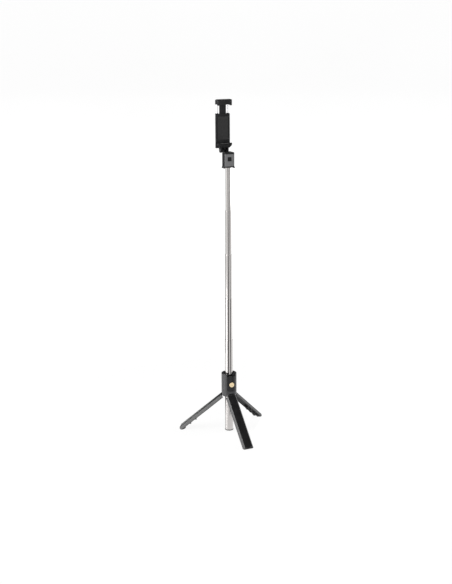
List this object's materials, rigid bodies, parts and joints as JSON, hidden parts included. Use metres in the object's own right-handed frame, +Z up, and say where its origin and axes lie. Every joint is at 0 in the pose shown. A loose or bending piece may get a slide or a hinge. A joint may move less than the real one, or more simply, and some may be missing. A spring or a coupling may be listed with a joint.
{
  "type": "tripod selfie stick",
  "caption": "Telescopic selfie stick standing on three fold-out legs, with a detachable remote in its hub and a tilting spring clamp for a phone.",
  "frame": {"origin": "on the stick's axis at floor level, under the outer tube's end plug", "axes": "+Z up along the stick, -Y the front, towards which the phone's screen, the remote and one leg point, +X to the right as seen from the front"},
  "size_m": [0.176, 0.1535, 0.6351],
  "materials": {
    "polished_tube": "polished",
    "spring_steel": "satin",
    "black_plastic": "matte",
    "hub_grey": "satin, fine metallic grain",
    "leg_black": "satin gloss",
    "remote_black": "satin",
    "button_gold": "gloss",
    "board_green": "solder mask",
    "contact_brass": "satin",
    "clamp_black": "satin",
    "plate_grey": "satin, fine metallic grain",
    "black_rubber": "matte"
  },
  "bodies": {
    "hub": {"hub_body": "hub_grey", "hub_screw": "spring_steel", "tube_6": "polished_tube", "tube_end_plug": "black_plastic", "leg_pin_front": "spring_steel", "leg_pin_right": "spring_steel", "leg_pin_left": "spring_steel"},
    "front_leg": {"leg_front": "leg_black", "foot_pad_front": "black_rubber"},
    "right_leg": {"leg_right": "leg_black", "foot_pad_right": "black_rubber"},
    "left_leg": {"leg_left": "leg_black", "foot_pad_left": "black_rubber"},
    "remote": {"remote_front_shell": "remote_black", "remote_back_shell": "black_plastic", "remote_board": "board_green", "remote_switch": "spring_steel", "remote_cell": "spring_steel", "remote_cell_contact": "contact_brass", "remote_cell_cover": "black_plastic"},
    "button": {"remote_button": "button_gold"},
    "section_5": {"tube_5": "polished_tube", "friction_bush_5": "spring_steel"},
    "section_4": {"tube_4": "polished_tube", "friction_bush_4": "spring_steel"},
    "section_3": {"tube_3": "polished_tube", "friction_bush_3": "spring_steel"},
    "section_2": {"tube_2": "polished_tube", "friction_bush_2": "spring_steel"},
    "section_1": {"tube_1": "polished_tube", "friction_bush_1": "spring_steel", "swivel_plug": "spring_steel", "swivel_screw": "spring_steel"},
    "head": {"block_body": "clamp_black", "block_cap": "clamp_black", "block_face_plate": "plate_grey", "block_face_screw": "spring_steel"},
    "clamp": {"clamp_body": "clamp_black", "clamp_back_cover": "black_plastic", "clamp_cover_screws": "spring_steel", "clamp_rail_caps": "black_plastic", "lower_jaw_pad": "black_rubber", "phone_rest_pad": "black_rubber", "clamp_springs": "spring_steel", "tilt_screw": "spring_steel", "tilt_nut": "spring_steel", "tilt_washers": "spring_steel"},
    "top_jaw": {"upper_jaw": "clamp_black", "upper_jaw_pad": "black_rubber", "clamp_guide_rods": "spring_steel"}
  },
  "joints": [
    {"name": "section_5_slide", "type": "slide", "parent": "hub", "child": "section_5", "axis": [0, 0, 1], "range_m": [-0.0787, 0]},
    {"name": "section_4_slide", "type": "slide", "parent": "section_5", "child": "section_4", "axis": [0, 0, 1], "range_m": [-0.0787, 0]},
    {"name": "section_3_slide", "type": "slide", "parent": "section_4", "child": "section_3", "axis": [0, 0, 1], "range_m": [-0.0787, 0]},
    {"name": "section_2_slide", "type": "slide", "parent": "section_3", "child": "section_2", "axis": [0, 0, 1], "range_m": [-0.0787, 0]},
    {"name": "section_1_slide", "type": "slide", "parent": "section_2", "child": "section_1", "axis": [0, 0, 1], "range_m": [-0.0787, 0]},
    {"name": "front_leg_fold", "type": "hinge", "parent": "hub", "child": "front_leg", "pos_m": [0, -0.0112, 0.07774], "axis": [-1, 0, 0], "range_deg": [-48.8, 0]},
    {"name": "right_leg_fold", "type": "hinge", "parent": "hub", "child": "right_leg", "pos_m": [0.0097, 0.0056, 0.07774], "axis": [0.5, -0.866, 0], "range_deg": [-48.8, 0]},
    {"name": "left_leg_fold", "type": "hinge", "parent": "hub", "child": "left_leg", "pos_m": [-0.0097, 0.0056, 0.07774], "axis": [0.5, 0.866, 0], "range_deg": [-48.8, 0]},
    {"name": "head_swivel", "type": "hinge", "parent": "section_1", "child": "head", "pos_m": [0, 0, 0.526], "axis": [0, 0, 1], "continuous": true},
    {"name": "clamp_tilt", "type": "hinge", "parent": "head", "child": "clamp", "pos_m": [0, 0.0203, 0.544], "axis": [1, 0, 0], "range_deg": [-177, 30]},
    {"name": "jaw_slide", "type": "slide", "parent": "clamp", "child": "top_jaw", "axis": [0, 0, 1], "range_m": [-0.0155, 0.0142], "deforming": ["clamp_springs"]},
    {"name": "remote_slide", "type": "slide", "parent": "hub", "child": "remote", "axis": [0, 0, 1], "range_m": [0, 0.036]},
    {"name": "button_press", "type": "slide", "parent": "remote", "child": "button", "axis": [0, 1, 0], "range_m": [0, 0.0003], "stiffness_N_per_m": 2000, "springref_m": -0.0003}
  ]
}
